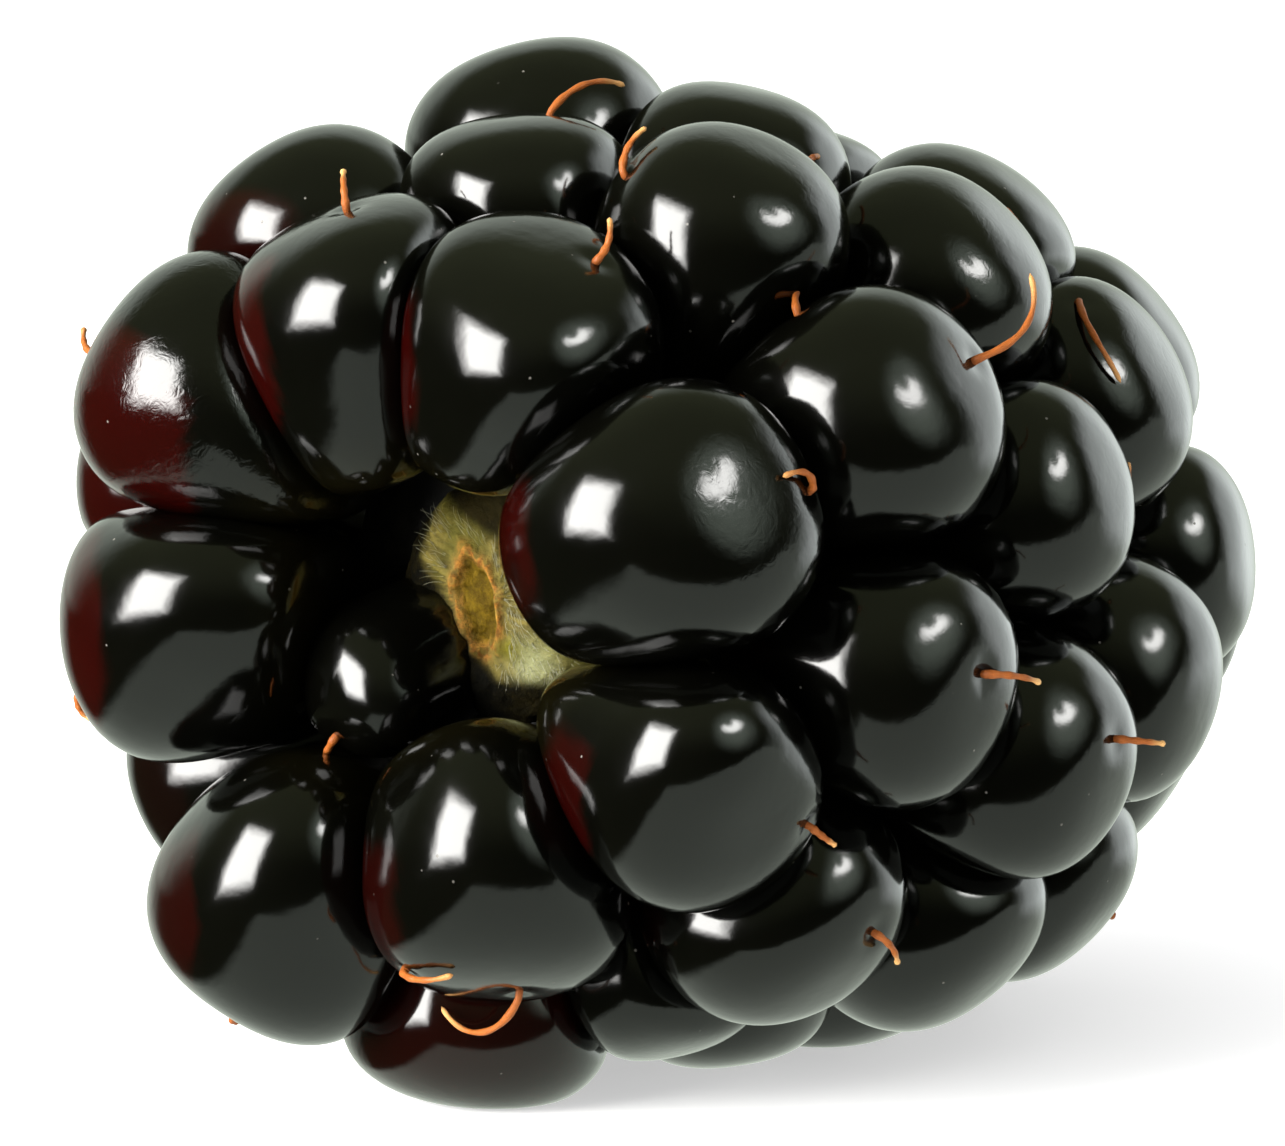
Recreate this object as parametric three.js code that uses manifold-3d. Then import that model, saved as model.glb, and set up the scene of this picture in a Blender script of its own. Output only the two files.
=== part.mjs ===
// A ripe bramble berry lying on its side: a head of drupelets grown together round a pale receptacle.
// Millimetres, +Z up. The berry's axis runs along +Y, from the stem end to the tip, and the tip is a
// little lower. The berry rests on the flat spots of its lowest drupelets, which lie in the plane z = 0.
import * as THREE from 'three';
import { mergeVertices } from 'three/addons/utils/BufferGeometryUtils.js';
import Module from 'manifold-3d';

// ---- Driving dimensions (millimetres and degrees) ----

const REST_TILT = 5; // the tip is lower than the stem end by this angle
const REST_HEIGHT = 8.9; // height of the berry's middle over the surface that it rests on
const MID_STATION = 2.35; // the station halfway along the berry, which stands over the origin
const ASIDE = -0.37; // the styles reach further on the right, so the axis lies this far over to the left

const PLUMPNESS = 2.6; // a higher power makes a drupelet's own egg squarer
const ROUNDNESS = 9; // a higher power presses a drupelet flatter against its neighbours
const PRESS_REACH = 9; // drupelets further apart than this don't press on each other
const OVERLAP = 1.03; // neighbours run past their shared plane by this factor, so that they grow together
const GAP = 0.3; // clearance between the drupelets and the receptacle
const LEAST_ROOM = 1; // a drupelet with less room than this grows over the receptacle's rim

const DRUPELET_SIDES = 12; // sides round a drupelet's own axis
const DRUPELET_CIRCLES = [24, 48, 72, 98]; // its circles, in degrees from its outer end
const OPEN_CIRCLE = 130; // one more on the first ring, whose inner ends show round the receptacle

const BED_SIDES = 20;
// Outline of the flesh that fills the space between the drupelets: station and radius.
const BED_OUTLINE = [
  [-4.8, 3.8], [-3.4, 6.4], [-0.2, 7.5], [3.8, 7.2], [7.6, 6.1], [10.8, 4.3], [12.9, 1.8],
];

const RECEPTACLE_SIDES = 28;
const RECEPTACLE_BASE = -6.5; // station of its base, at the stem end
const RECEPTACLE_ASIDE = 0.5; // it grew this far to the right of the berry's axis
const RECEPTACLE_RADIUS = 2.3;
const RECEPTACLE_LENGTH = 14;
const RECEPTACLE_RINGS = 7;
const SCAR_RADIUS = 0.85; // the ring where the stem broke away
const SCAR_RISE = 0.16;
const SCAR_INSIDE = 0.6; // share of its radius where the dimple begins
const SCAR_OUTSIDE = 1.4; // share of its radius where the ring has run out
const SHOULDER_START = 0.75; // share of the receptacle's radius where its shoulder begins
const SHOULDER_DEPTH = 0.25; // how far the shoulder runs along the axis, as a share of that radius

const STYLE_SIDES = 3;
const STYLE_STEPS = 3;
const STYLE_RADIUS = 0.1; // at the root
const STYLE_TAPER = 0.4; // share of it that is lost before the pointed end
const STYLE_DEPTH = 0.5; // the root is sunk this far into its drupelet
const STYLE_SHARE = 0.45; // share of the drupelets without one of their own below that keep a short style
const STYLE_CLEAR = 4; // none grows where it would reach the surface under the berry
const STYLE_SEED = 3;

// Rings of drupelets from the stem end to the tip.
// station: place along the axis; radius: distance of their centres from it;
// lean: their outer ends lean towards the tip; out, inward, wide: a drupelet's half axes, outwards and
// inwards along its own axis, and across it; open: its drupelets' inner ends can be seen.
// Each drupelet: bearing round the axis, from +X towards +Z, then what is its own, where it has any:
// shift along the axis, shift away from it, and changes to wide, out and lean.
// Its name is its ring's and its bearing.
const RINGS = [
  { name: 'A', station: -7.2, radius: 5.4, lean: -18, out: 2.65, inward: 3.4, wide: 2.6, open: true,
    drupelets: [[18, -0.6, -0.4], [72, 0, -0.7, 0, -0.3], [112, 0, -0.5, 0, -0.2], [147, 0, 0.4],
      [190, 0, -0.3], [224, 0.6, -3.1, -1.1, -1.1, -42], [242, 0.3, 1], [285, 0, -0.3, 0, -0.5],
      [331, 0, 0.4, -0.25, -0.5]] },
  { name: 'B', station: -4.0, radius: 6.8, lean: -8, out: 2.95, inward: 4.0, wide: 2.55,
    drupelets: [[27], [61, 0, -0.3, -0.1], [96, 0, -1.1], [130, 0, 0.1], [168], [184, 0.5], [211, 0.8],
      [263, 0, 0, 0.3], [289, 0.8, -0.9], [315, 0, -0.3], [352, 0, -0.2]] },
  { name: 'C', station: -0.2, radius: 7.2, lean: 0, out: 3.05, inward: 4.0, wide: 2.5,
    drupelets: [[15, 0, -0.3], [45, 0, -0.2], [79, 0, -0.8], [109, 0, 0.1, 0.2], [139], [167],
      [197, 0.5], [225, 1], [252, 0, -0.45], [284, 0.5, -1], [316, 0.6, 0.2, 0, -0.3],
      [342, 0, 0.1]] },
  { name: 'D', station: 3.8, radius: 6.9, lean: 6, out: 2.95, inward: 4.0, wide: 2.5,
    drupelets: [[29, 0, -0.2], [56, 0, -0.5], [88, 0, -1.2, 0.4], [122], [157], [194], [227],
      [259, 0, -0.6], [288, 0, -0.5], [320], [349]] },
  { name: 'E', station: 7.6, radius: 5.8, lean: 15, out: 2.85, inward: 4.0, wide: 2.5,
    drupelets: [[5, 0, -0.1], [40, 0, -0.2], [74, 0, -0.7], [109], [145], [180], [217], [257], [294],
      [330, 0, -0.5]] },
  { name: 'F', station: 10.6, radius: 4.2, lean: 40, out: 2.75, inward: 4.0, wide: 2.4,
    drupelets: [[52], [112], [172], [232], [292], [352]] },
  { name: 'G', station: 12.2, radius: 1.6, lean: 70, out: 2.55, inward: 4.0, wide: 2.3,
    drupelets: [[2], [122], [242]] },
];

// The drupelets of the first ring bulge out of the berry's stem end, where they have no neighbours.
// share: how far, as a share of the drupelet's size; aside: the bulge's direction, in degrees from the
// berry's axis towards +X; above: how far over that it points.
const BULGE_POWER = 6; // a higher power keeps a bulge narrower
const BULGES = {
  A18: { share: 0.09, aside: -17, above: 7 },
  A72: { share: 0.2, aside: 33, above: -11 },
  A112: { share: 0.18, aside: 33, above: 14 },
  A147: { share: 0.11, aside: 26, above: 4 },
  A190: { share: 0.26, aside: 24, above: 17 },
  A224: { share: 0.15, aside: 36, above: -20 },
  A242: { share: 0.26, aside: 21, above: 20 },
  A285: { share: 0.26, aside: 26, above: 30 },
  A331: { share: 0.2, aside: 32, above: 24 },
};

// The longer withered styles, each on the drupelet that it names.
// root: degrees from the drupelet's outer end, and the way to there; heading: the way that the style runs;
// ways are degrees from the berry's tip towards a growing bearing;
// rise: slope off the skin at the root; fall: how far it bends back down; curl: how far it bends sideways.
const STYLES = [
  { on: 'A18', root: [28, 0], length: 1.1, heading: 131, rise: 32, fall: 85, curl: 73 },
  { on: 'A72', root: [25, -85], length: 0.8, heading: 5, rise: 45, fall: 0, curl: 90 },
  { on: 'A112', root: [20, -110], length: 0.8, heading: 20, rise: 65, fall: 55, curl: 0 },
  { on: 'A190', root: [25, 120], length: 0.6, heading: 55, rise: 45, fall: 85, curl: 35 },
  { on: 'A285', root: [45, -123], length: 1.4, heading: 100, rise: 15, fall: 67, curl: -15 },
  { on: 'A285', root: [11, 15], length: 2.6, heading: -74, rise: 49, fall: 111, curl: 4 },
  { on: 'A331', root: [34, 17], length: 0.6, heading: -59, rise: 67, fall: -4, curl: 10 },
  { on: 'B27', root: [15, 22], length: 2.2, heading: -14, rise: 70, fall: 61, curl: 112 },
  { on: 'B27', root: [70, 115], length: 1.2, heading: 80, rise: 45, fall: 90, curl: -35 },
  { on: 'B61', root: [40, 5], length: 0.7, heading: 10, rise: 70, fall: 55, curl: 0 },
  { on: 'B61', root: [55, 130], length: 1, heading: -5, rise: 40, fall: 45, curl: -45 },
  { on: 'B96', root: [15, -50], length: 1.9, heading: -25, rise: 60, fall: 75, curl: 0 },
  { on: 'B168', root: [45, 130], length: 1, heading: 30, rise: 30, fall: 50, curl: -55 },
  { on: 'B211', root: [10, 140], length: 1.5, heading: -40, rise: 20, fall: 75, curl: 10 },
  { on: 'B315', root: [25, 90], length: 0.9, heading: -15, rise: 45, fall: 50, curl: -40 },
  { on: 'B352', root: [10, 90], length: 1.3, heading: 0, rise: 35, fall: 45, curl: -15 },
  { on: 'C15', root: [40, -5], length: 0.6, heading: 40, rise: 45, fall: 60, curl: 90 },
  { on: 'C45', root: [35, 30], length: 0.9, heading: -75, rise: 30, fall: 70, curl: 15 },
  { on: 'C342', root: [20, 95], length: 0.9, heading: -10, rise: 70, fall: 25, curl: 0 },
  { on: 'D29', root: [39, 133], length: 2.2, heading: -149, rise: 22, fall: 71, curl: 88 },
];

// ---- Places in the berry's own frame, set down at rest ----

const radians = THREE.MathUtils.degToRad;

// Turns the berry's own frame, with the axis level, into the frame at rest.
const REST = new THREE.Matrix4()
  .makeTranslation(ASIDE, 0, REST_HEIGHT)
  .multiply(new THREE.Matrix4().makeRotationX(radians(-REST_TILT)))
  .multiply(new THREE.Matrix4().makeTranslation(0, -MID_STATION, 0));

const BERRY_AXIS = new THREE.Vector3(0, 1, 0).transformDirection(REST);

// The direction away from the axis at a bearing.
function away(bearing) {
  return new THREE.Vector3(Math.cos(radians(bearing)), 0, Math.sin(radians(bearing)));
}

// The receptacle tapers as a quarter ellipse from its base to its tip.
function receptacleRadius(station) {
  const share = (station - RECEPTACLE_BASE) / RECEPTACLE_LENGTH;
  return RECEPTACLE_RADIUS * Math.sqrt(Math.max(0, 1 - Math.max(0, share) ** 2));
}

// The point nearest to a drupelet's centre on the receptacle's sides, grown by the gap.
function receptacleRim(centre) {
  const station = Math.max(centre.y, RECEPTACLE_BASE);
  const outwards = new THREE.Vector3(centre.x - RECEPTACLE_ASIDE, 0, centre.z).normalize();
  const rim = outwards.multiplyScalar(receptacleRadius(station) + GAP);
  return rim.add(new THREE.Vector3(RECEPTACLE_ASIDE, station, 0));
}

// The bulge of the drupelet of that name, as its share and its direction at rest.
function bulgeOf(name) {
  const { share, aside, above } = BULGES[name] ?? { share: 0, aside: 0, above: 0 };
  const level = new THREE.Vector3(Math.sin(radians(aside)), -Math.cos(radians(aside)), 0);
  const towards = level.multiplyScalar(Math.cos(radians(above))).setZ(Math.sin(radians(above)));
  return { share, towards: towards.transformDirection(REST) };
}

function drupeletOf(ring, [bearing, along = 0, off = 0, wider = 0, taller = 0, leaning = 0]) {
  const lean = radians(ring.lean + leaning);
  const centre = away(bearing).multiplyScalar(ring.radius + off).setY(ring.station + along);
  const axis = away(bearing).multiplyScalar(Math.cos(lean)).setY(Math.sin(lean));
  const name = ring.name + bearing;
  return {
    name,
    bulge: bulgeOf(name),
    room: centre.clone().sub(receptacleRim(centre)).dot(axis),
    centre: centre.applyMatrix4(REST),
    axis: axis.transformDirection(REST),
    circles: ring.open ? [...DRUPELET_CIRCLES, OPEN_CIRCLE] : DRUPELET_CIRCLES,
    out: ring.out + taller,
    inward: ring.inward,
    wide: ring.wide + wider,
  };
}

// ---- Surfaces ----

// A closed surface through rings of points, drawn together to a point at either end.
// Every other ring is taken as turned by half a side, so the triangles run alternately.
function closedSurface(first, rings, last) {
  const sides = rings[0].length;
  const points = [first, ...rings.flat(), last];
  const at = (ring, side) => 1 + ring * sides + (side % sides);
  const triangles = [];
  for (let side = 0; side < sides; side++) {
    triangles.push(0, at(0, side), at(0, side + 1));
    for (let ring = 0; ring < rings.length - 1; ring++) {
      const [a, b] = [at(ring, side), at(ring + 1, side)];
      const [c, d] = [at(ring + 1, side + 1), at(ring, side + 1)];
      triangles.push(...(ring % 2 ? [a, b, c, a, c, d] : [a, b, d, b, c, d]));
    }
    triangles.push(points.length - 1, at(rings.length - 1, side + 1), at(rings.length - 1, side));
  }
  return new THREE.BufferGeometry().setFromPoints(points).setIndex(triangles);
}

// Two directions square to a drupelet's axis: towards the berry's tip, and round the berry.
function squareTo(axis) {
  const tipwards = BERRY_AXIS.clone().projectOnPlane(axis).normalize();
  return [tipwards, axis.clone().cross(tipwards)];
}

// The direction at an angle from a drupelet's axis, on the side that a way round it points to.
function direction(drupelet, angle, way) {
  const [tipwards, round] = squareTo(drupelet.axis);
  return drupelet.axis.clone().multiplyScalar(Math.cos(angle))
    .addScaledVector(tipwards, Math.sin(angle) * Math.cos(way))
    .addScaledVector(round, Math.sin(angle) * Math.sin(way));
}

// The planes that flatten a drupelet, each a direction and its distance from the drupelet's centre:
// one towards each neighbour, shared out by their widths, and one through the receptacle's rim.
function pressingPlanes(drupelet, all) {
  const rim = { towards: drupelet.axis.clone().negate(), distance: drupelet.room };
  const planes = drupelet.room > LEAST_ROOM ? [rim] : [];
  for (const other of all) {
    const step = other.centre.clone().sub(drupelet.centre);
    const distance = step.length();
    if (other === drupelet || distance > PRESS_REACH) continue;
    const share = drupelet.wide / (drupelet.wide + other.wide);
    planes.push({ towards: step.normalize(), distance: distance * share * OVERLAP });
  }
  return planes;
}

// The point of a drupelet's skin in a direction from its centre: the egg's own, drawn in smoothly
// where a plane presses on it, and let out by its bulge.
function skinPoint(drupelet, towards) {
  const upright = towards.dot(drupelet.axis);
  const high = Math.abs(upright) / (upright > 0 ? drupelet.out : drupelet.inward);
  const across = Math.sqrt(Math.max(0, 1 - upright ** 2)) / drupelet.wide;
  let sum = (high ** PLUMPNESS + across ** PLUMPNESS) ** (ROUNDNESS / PLUMPNESS);
  for (const plane of drupelet.planes) {
    sum += (Math.max(0, towards.dot(plane.towards)) / plane.distance) ** ROUNDNESS;
  }
  const { bulge } = drupelet;
  const letOut = 1 + bulge.share * Math.max(0, towards.dot(bulge.towards)) ** BULGE_POWER;
  return towards.clone().multiplyScalar(sum ** (-1 / ROUNDNESS) * letOut).add(drupelet.centre);
}

function drupeletGeometry(drupelet) {
  const skin = (angle, turn) => skinPoint(drupelet, direction(drupelet, angle, turn));
  const step = 2 * Math.PI / DRUPELET_SIDES;
  const rings = drupelet.circles.map((angle, circle) => {
    const halfTurn = (circle % 2) / 2;
    const sides = Array.from({ length: DRUPELET_SIDES }, (_, side) => side);
    return sides.map((side) => skin(radians(angle), (side + halfTurn) * step));
  });
  return closedSurface(skin(0, 0), rings, skin(Math.PI, 0));
}

// A repeatable stream of numbers between 0 and 1.
function draws(seed) {
  const [factor, modulus] = [16807, 2147483647];
  let state = seed;
  return (low, high) => {
    state = (state * factor) % modulus;
    return low + (high - low) * state / modulus;
  };
}

// Short styles on some of the drupelets that have none in the list above.
function shortStyles(drupelets) {
  const draw = draws(STYLE_SEED);
  const taken = new Set(STYLES.map((style) => style.on));
  const free = drupelets.filter(({ name, centre }) => !taken.has(name) && centre.z > STYLE_CLEAR);
  return free.map(({ name }) => ({
    on: name,
    kept: draw(0, 1) < STYLE_SHARE,
    root: [draw(5, 30), draw(0, 360)],
    length: draw(0.5, 1.2),
    heading: draw(-40, 40),
    rise: draw(30, 65),
    fall: draw(30, 90),
    curl: draw(-70, 70),
  })).filter((style) => style.kept);
}

// The places along a style, from its sunken root to its end, each with the way that it runs there.
function stylePath(drupelet, style) {
  const [angle, way] = style.root.map(radians);
  const up = direction(drupelet, angle, way);
  const ahead = direction(drupelet, Math.PI / 2, radians(style.heading)).projectOnPlane(up).normalize();
  const place = skinPoint(drupelet, up);
  const path = [{ place: place.clone().addScaledVector(up, -STYLE_DEPTH), along: up }];
  for (let step = 0; step < STYLE_STEPS; step++) {
    const share = (step + 0.5) / STYLE_STEPS;
    const slope = radians(style.rise - style.fall * share);
    const along = ahead.clone().applyAxisAngle(up, radians(style.curl * share))
      .multiplyScalar(Math.cos(slope)).addScaledVector(up, Math.sin(slope));
    place.addScaledVector(along, style.length / STYLE_STEPS);
    path.push({ place: place.clone(), along });
  }
  return path;
}

// A thread along the path that tapers to a point. The side vector is carried along it, so it isn't twisted.
function styleGeometry(drupelet, style) {
  const path = stylePath(drupelet, style);
  const side = path[0].along.clone().cross(path[1].along).normalize();
  const rings = path.slice(0, -1).map(({ place, along }, step) => {
    side.projectOnPlane(along).normalize();
    const over = along.clone().cross(side);
    const radius = STYLE_RADIUS * (1 - STYLE_TAPER * step / STYLE_STEPS);
    return Array.from({ length: STYLE_SIDES }, (_, corner) => {
      const turn = -2 * Math.PI * corner / STYLE_SIDES;
      return place.clone()
        .addScaledVector(side, radius * Math.cos(turn))
        .addScaledVector(over, radius * Math.sin(turn));
    });
  });
  return closedSurface(path[0].place, rings, path[path.length - 1].place);
}

// A body of revolution along the berry's axis, or that far to the right of it. Its outline holds pairs
// of station and radius, from the stem end to the tip, and starts and ends at radius 0.
function turned(outline, sides, aside = 0) {
  const profile = outline.map(([station, radius]) => new THREE.Vector2(radius, station));
  return new THREE.LatheGeometry(profile, sides).translate(aside, 0, 0).applyMatrix4(REST);
}

function bedGeometry() {
  const first = BED_OUTLINE[0];
  const last = BED_OUTLINE[BED_OUTLINE.length - 1];
  return turned([[first[0], 0], ...BED_OUTLINE, [last[0], 0]], BED_SIDES);
}

// The sides of the receptacle as an outline, from its base to its tip, grown outwards by a clearance.
function receptacleSides(clearance) {
  return Array.from({ length: RECEPTACLE_RINGS + 1 }, (_, ring) => {
    const turn = ring / RECEPTACLE_RINGS * Math.PI / 2;
    const station = RECEPTACLE_BASE + (RECEPTACLE_LENGTH + clearance) * Math.sin(turn);
    return [station, (RECEPTACLE_RADIUS + clearance) * Math.cos(turn)];
  });
}

// The base has a low ring with a dimple in it, where the stem broke away, and a rounded shoulder.
function receptacleGeometry() {
  const [rim, ...sides] = receptacleSides(0);
  const base = [
    [RECEPTACLE_BASE + SCAR_RISE, 0],
    [RECEPTACLE_BASE, SCAR_RADIUS * SCAR_INSIDE],
    [RECEPTACLE_BASE - SCAR_RISE, SCAR_RADIUS],
    [RECEPTACLE_BASE + SCAR_RISE / 2, SCAR_RADIUS * SCAR_OUTSIDE],
    [RECEPTACLE_BASE + SCAR_RISE / 2, RECEPTACLE_RADIUS * SHOULDER_START],
    [rim[0] + RECEPTACLE_RADIUS * SHOULDER_DEPTH, RECEPTACLE_RADIUS],
  ];
  const tip = RECEPTACLE_BASE + RECEPTACLE_LENGTH;
  return turned([...base, ...sides.slice(0, -1), [tip, 0]], RECEPTACLE_SIDES, RECEPTACLE_ASIDE);
}

// The room that the receptacle takes up in the drupelets, open at the stem end.
function receptacleRoom() {
  const sides = receptacleSides(GAP).slice(0, -1);
  const mouth = RECEPTACLE_BASE - 2 * GAP;
  const tip = RECEPTACLE_BASE + RECEPTACLE_LENGTH + GAP;
  const outline = [[mouth, 0], [mouth, sides[0][1]], ...sides, [tip, 0]];
  return turned(outline, RECEPTACLE_SIDES, RECEPTACLE_ASIDE);
}

// ---- Solids ----

const wasm = await Module();
wasm.setup();

function solidOf(geometry) {
  const bare = geometry.clone();
  bare.deleteAttribute('normal');
  bare.deleteAttribute('uv');
  const merged = mergeVertices(bare, 1e-4);
  return new wasm.Manifold(new wasm.Mesh({
    numProp: 3,
    vertProperties: merged.attributes.position.array,
    triVerts: new Uint32Array(merged.index.array),
  }));
}

function geometryOf(solid) {
  const { vertProperties, triVerts } = solid.getMesh();
  const geometry = new THREE.BufferGeometry();
  geometry.setAttribute('position', new THREE.BufferAttribute(vertProperties, 3));
  geometry.setIndex(new THREE.BufferAttribute(triVerts, 1));
  geometry.computeVertexNormals();
  return geometry;
}

const joined = (solids) => solids.reduce((whole, solid) => whole.add(solid));

// Everything below the surface that the berry rests on.
function belowRest() {
  const side = 40;
  return new THREE.BoxGeometry(side, side, side).translate(0, 0, -side / 2);
}

function drupeletsSolid() {
  const drupelets = RINGS.flatMap((ring) => ring.drupelets.map((own) => drupeletOf(ring, own)));
  for (const drupelet of drupelets) drupelet.planes = pressingPlanes(drupelet, drupelets);
  const byName = new Map(drupelets.map((drupelet) => [drupelet.name, drupelet]));
  const styles = [...STYLES, ...shortStyles(drupelets)];
  const head = joined([
    bedGeometry(),
    ...drupelets.map(drupeletGeometry),
    ...styles.map((style) => styleGeometry(byName.get(style.on), style)),
  ].map(solidOf));
  return head.subtract(solidOf(receptacleRoom())).subtract(solidOf(belowRest()));
}

// ---- The part ----

const SKIN = new THREE.MeshStandardMaterial({ color: 0x17131a, roughness: 0.15, metalness: 0 });
const PITH = new THREE.MeshStandardMaterial({ color: 0xc9c493, roughness: 0.8, metalness: 0 });

function named(name, geometry, material) {
  const mesh = new THREE.Mesh(geometry, material);
  mesh.name = name;
  return mesh;
}

const berry = new THREE.Group();
berry.add(named('drupelets', geometryOf(drupeletsSolid()), SKIN));
berry.add(named('receptacle', geometryOf(solidOf(receptacleGeometry())), PITH));

export default berry;
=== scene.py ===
"""A ripe bramble berry at rest on a pale floor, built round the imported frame.

The plan is in millimetres and degrees, as in the solids. A mesh or a finish takes metres when it is made.
"""

import math

import bpy
import numpy as np
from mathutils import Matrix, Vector


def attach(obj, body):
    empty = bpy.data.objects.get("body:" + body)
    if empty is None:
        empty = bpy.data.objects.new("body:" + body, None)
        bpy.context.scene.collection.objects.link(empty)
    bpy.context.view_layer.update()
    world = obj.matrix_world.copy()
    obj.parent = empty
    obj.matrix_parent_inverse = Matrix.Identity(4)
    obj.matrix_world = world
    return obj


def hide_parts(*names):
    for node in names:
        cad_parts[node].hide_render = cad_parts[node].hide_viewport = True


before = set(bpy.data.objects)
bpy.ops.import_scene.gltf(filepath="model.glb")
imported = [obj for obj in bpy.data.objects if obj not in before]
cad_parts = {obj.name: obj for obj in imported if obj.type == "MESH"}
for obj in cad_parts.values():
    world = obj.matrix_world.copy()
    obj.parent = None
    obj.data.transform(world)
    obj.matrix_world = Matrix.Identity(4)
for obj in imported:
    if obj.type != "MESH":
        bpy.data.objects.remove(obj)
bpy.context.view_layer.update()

bl_info = {
    "name": "Bramble Berry",
    "version": (1, 0, 0),
    "blender": (4, 5, 0),
    "location": "View3D > Sidebar > Berry",
    "description": "Builds the skins, styles and pith of a bramble berry, and the studio round it",
    "category": "Object",
}

MM = 0.001

# ---- The berry's plan, as in the solids ----

REST_TILT = 5  # the tip hangs lower than the stem end by this angle
REST_HEIGHT = 8.9  # of the berry's middle over the floor
MID_STATION = 2.35  # halfway along the berry
ASIDE = -0.37  # from the middle of the berry's box to its axis

PLUMPNESS = 2.6  # a higher power makes a drupelet's own egg squarer
ROUNDNESS = 9  # a higher power presses it flatter against its neighbours
PRESS_REACH = 9  # drupelets further apart than this don't press on each other
OVERLAP = 1.03  # neighbours run past their shared plane by this factor
GAP = 0.3  # between the drupelets and the receptacle
LEAST_ROOM = 1  # with less room than this a drupelet grows over the receptacle's rim

BED_OUTLINE = [(-4.8, 3.8), (-3.4, 6.4), (-0.2, 7.5), (3.8, 7.2), (7.6, 6.1), (10.8, 4.3), (12.9, 1.8)]

RECEPTACLE_BASE, RECEPTACLE_LENGTH = -6.5, 14  # the station of its base, at the stem end
RECEPTACLE_RADIUS = 2.3
RECEPTACLE_ASIDE = 0.5  # it grew this far to the right of the berry's axis

STYLE_DEPTH = 0.5  # a style's root is sunk this far into its drupelet
STYLE_SHARE = 0.45  # of the drupelets that aren't in STYLES, this share keeps a short style
STYLE_CLEAR = 4  # none of them is on a drupelet whose middle is lower than this
STYLE_SEED = 3
# The lowest and highest of each number of a short style, in the order of STYLES.
SHORT_STYLE = [(5, 30), (0, 360), (0.5, 1.2), (-40, 40), (30, 65), (30, 90), (-70, 70)]

# Rings of drupelets from the stem end to the tip: station, distance of their centres from the axis,
# lean of their outer ends towards the tip, half axes outwards, inwards and across. Each drupelet: bearing
# round the axis, from +X towards +Z, then shift along the axis, shift away from it, and changes to wide,
# out and lean, where it has any. Its name is its ring's and its bearing.
RINGS = [
    ("A", -7.2, 5.4, -18, 2.65, 3.4, 2.6, [
        (18, -0.6, -0.4), (72, 0, -0.7, 0, -0.3), (112, 0, -0.5, 0, -0.2), (147, 0, 0.4), (190, 0, -0.3),
        (224, 0.6, -3.1, -1.1, -1.1, -42), (242, 0.3, 1), (285, 0, -0.3, 0, -0.5),
        (331, 0, 0.4, -0.25, -0.5)]),
    ("B", -4, 6.8, -8, 2.95, 4, 2.55, [
        (27,), (61, 0, -0.3, -0.1), (96, 0, -1.1), (130, 0, 0.1), (168,), (184, 0.5), (211, 0.8),
        (263, 0, 0, 0.3), (289, 0.8, -0.9), (315, 0, -0.3), (352, 0, -0.2)]),
    ("C", -0.2, 7.2, 0, 3.05, 4, 2.5, [
        (15, 0, -0.3), (45, 0, -0.2), (79, 0, -0.8), (109, 0, 0.1, 0.2), (139,), (167,), (197, 0.5),
        (225, 1), (252, 0, -0.45), (284, 0.5, -1), (316, 0.6, 0.2, 0, -0.3), (342, 0, 0.1)]),
    ("D", 3.8, 6.9, 6, 2.95, 4, 2.5, [
        (29, 0, -0.2), (56, 0, -0.5), (88, 0, -1.2, 0.4), (122,), (157,), (194,), (227,), (259, 0, -0.6),
        (288, 0, -0.5), (320,), (349,)]),
    ("E", 7.6, 5.8, 15, 2.85, 4, 2.5, [
        (5, 0, -0.1), (40, 0, -0.2), (74, 0, -0.7), (109,), (145,), (180,), (217,), (257,), (294,),
        (330, 0, -0.5)]),
    ("F", 10.6, 4.2, 40, 2.75, 4, 2.4, [(52,), (112,), (172,), (232,), (292,), (352,)]),
    ("G", 12.2, 1.6, 70, 2.55, 4, 2.3, [(2,), (122,), (242,)]),
]

# How the first ring bulges out of the stem end, where it has no neighbours: share of the drupelet's size,
# then degrees aside from the berry's axis, towards +X, and above it.
BULGE_POWER = 6  # a higher power keeps a bulge narrower
BULGES = {
    "A18": (0.09, -17, 7), "A72": (0.20, 33, -11), "A112": (0.18, 33, 14), "A147": (0.11, 26, 4),
    "A190": (0.26, 24, 17), "A224": (0.15, 36, -20), "A242": (0.26, 21, 20), "A285": (0.26, 26, 30),
    "A331": (0.2, 32, 24),
}

# The longer withered styles: drupelet, the root's angle from its outer end and its way, length, heading, rise
# off the skin at the root, fall by the end, and curl sideways. Ways and headings are degrees from the berry's
# tip towards a growing bearing.
STYLES = [
    ("A18", 28, 0, 1.1, 131, 32, 85, 73),
    ("A72", 25, -85, 0.8, 5, 45, 0, 90),
    ("A112", 20, -110, 0.8, 20, 65, 55, 0),
    ("A190", 25, 120, 0.6, 55, 45, 85, 35),
    ("A285", 45, -123, 1.4, 100, 15, 67, -15),
    ("A285", 11, 15, 2.6, -74, 49, 111, 4),
    ("A331", 34, 17, 0.6, -59, 67, -4, 10),
    ("B27", 15, 22, 2.2, -14, 70, 61, 112),
    ("B27", 70, 115, 1.2, 80, 45, 90, -35),
    ("B61", 40, 5, 0.7, 10, 70, 55, 0),
    ("B61", 55, 130, 1, -5, 40, 45, -45),
    ("B96", 15, -50, 1.9, -25, 60, 75, 0),
    ("B168", 45, 130, 1, 30, 30, 50, -55),
    ("B211", 10, 140, 1.5, -40, 20, 75, 10),
    ("B315", 25, 90, 0.9, -15, 45, 50, -40),
    ("B352", 10, 90, 1.3, 0, 35, 45, -15),
    ("C15", 40, -5, 0.6, 40, 45, 60, 90),
    ("C45", 35, 30, 0.9, -75, 30, 70, 15),
    ("C342", 20, 95, 0.9, -10, 70, 25, 0),
    ("D29", 39, 133, 2.2, -149, 22, 71, 88),
]

# ---- Detail that only the dressed berry has ----

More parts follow.
